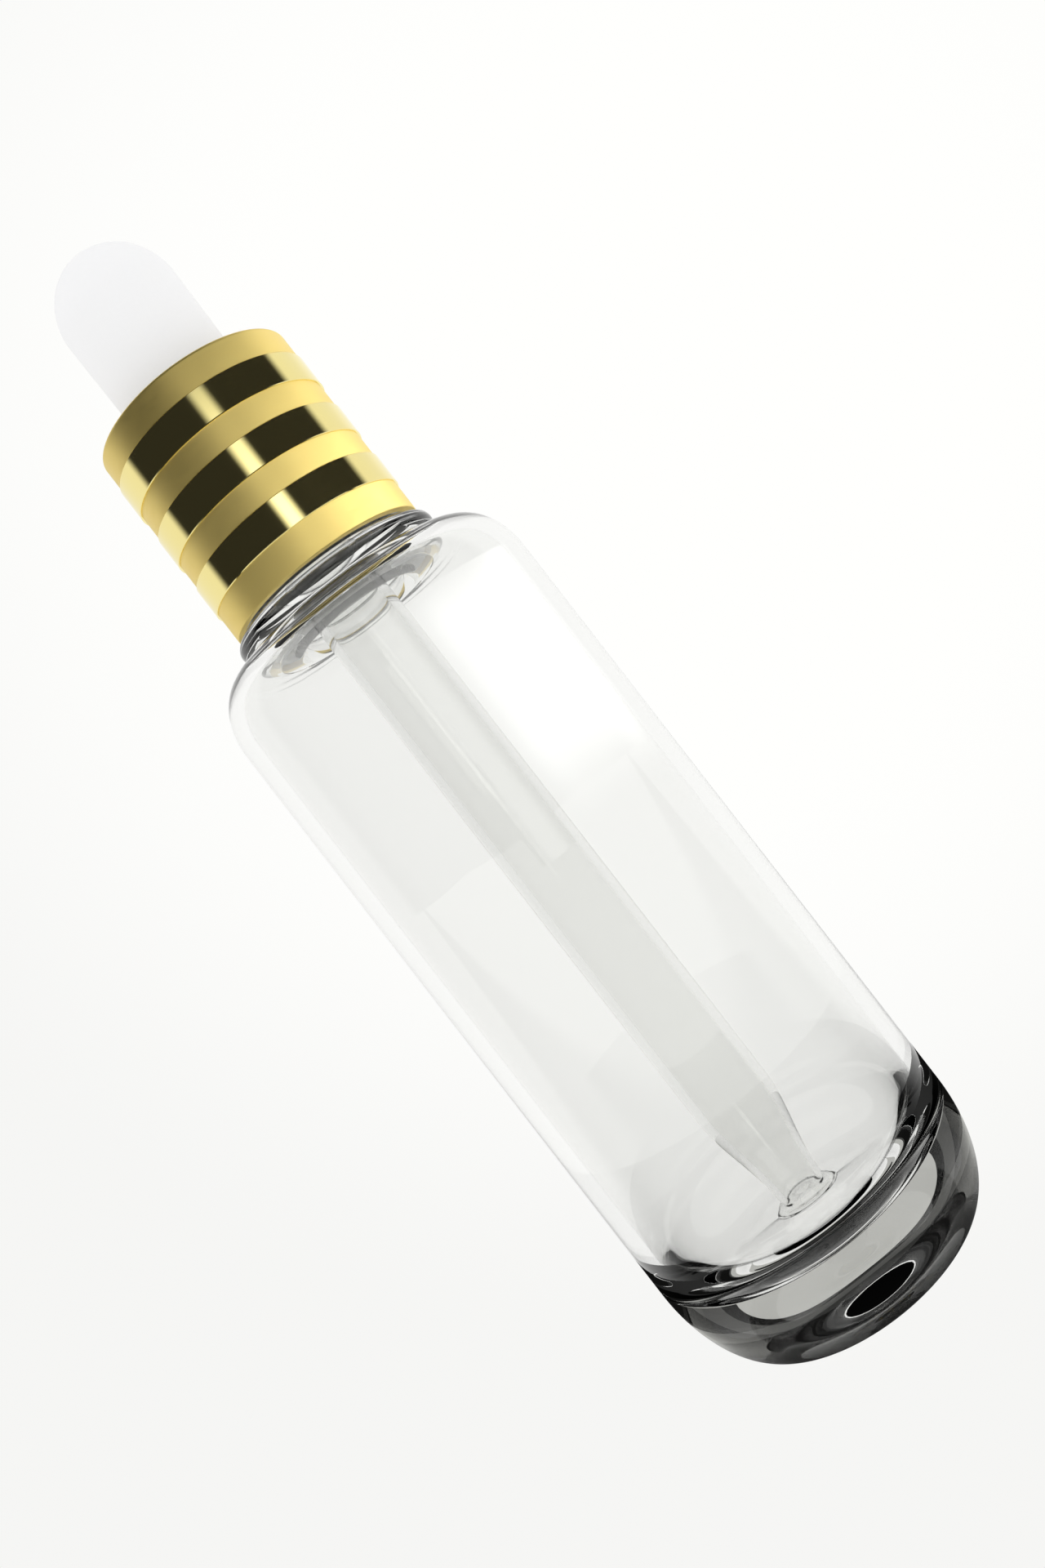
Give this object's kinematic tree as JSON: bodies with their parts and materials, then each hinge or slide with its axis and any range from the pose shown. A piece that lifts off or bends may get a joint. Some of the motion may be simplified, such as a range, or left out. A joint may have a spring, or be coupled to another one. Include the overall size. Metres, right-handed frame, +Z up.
{
  "type": "dropper bottle",
  "caption": "Slim round clear glass dropper bottle with a heavy base, a gold ribbed-band screw collar, a white rubber bulb and a glass ball-tip pipette.",
  "frame": {"origin": "centre of the flat underside of the base, where the bottle stands", "axes": "+Z up along the bottle's axis, towards the bulb; X and Y are free, as the bottle is round"},
  "size_m": [0.03, 0.03, 0.1108],
  "materials": {
    "clear_glass": "polished clear flint glass",
    "satin_gold": "satin gold anodised",
    "bright_gold": "polished gold anodised",
    "white_rubber": "matte white silicone rubber",
    "white_plastic": "moulded white polypropylene",
    "seal_foam": "soft polyethylene washer"
  },
  "bodies": {
    "bottle": {"glass_bottle": "clear_glass"},
    "seal": {"neck_gasket": "seal_foam"},
    "dropper": {"glass_pipette": "clear_glass"},
    "cap": {"collar_shell": "satin_gold", "upper_band": "bright_gold", "middle_band": "bright_gold", "lower_band": "bright_gold", "inner_cap": "white_plastic"},
    "bulb": {"rubber_bulb": "white_rubber"}
  },
  "joints": [
    {"name": "dropper_lift", "type": "slide", "parent": "bottle", "child": "seal", "axis": [0, 0, 1], "range_m": [0, 0.095]},
    {"name": "cap_rise", "type": "slide", "parent": "seal", "child": "dropper", "axis": [0, 0, 1], "range_m": [0, 0.00316]},
    {"name": "cap_turn", "type": "hinge", "parent": "dropper", "child": "cap", "pos_m": [0, 0, 0.085], "axis": [0, 0, 1], "range_deg": [0, 540]},
    {"name": "bulb_squeeze", "type": "slide", "parent": "dropper", "child": "bulb", "axis": [1, 0, 0], "range_m": [0, 0.003], "stiffness_N_per_m": 900, "deforming": ["rubber_bulb"]}
  ],
  "couplings": [
    {"joint": "cap_rise", "follows": "cap_turn", "m_per_rad": 0.00033423}
  ]
}
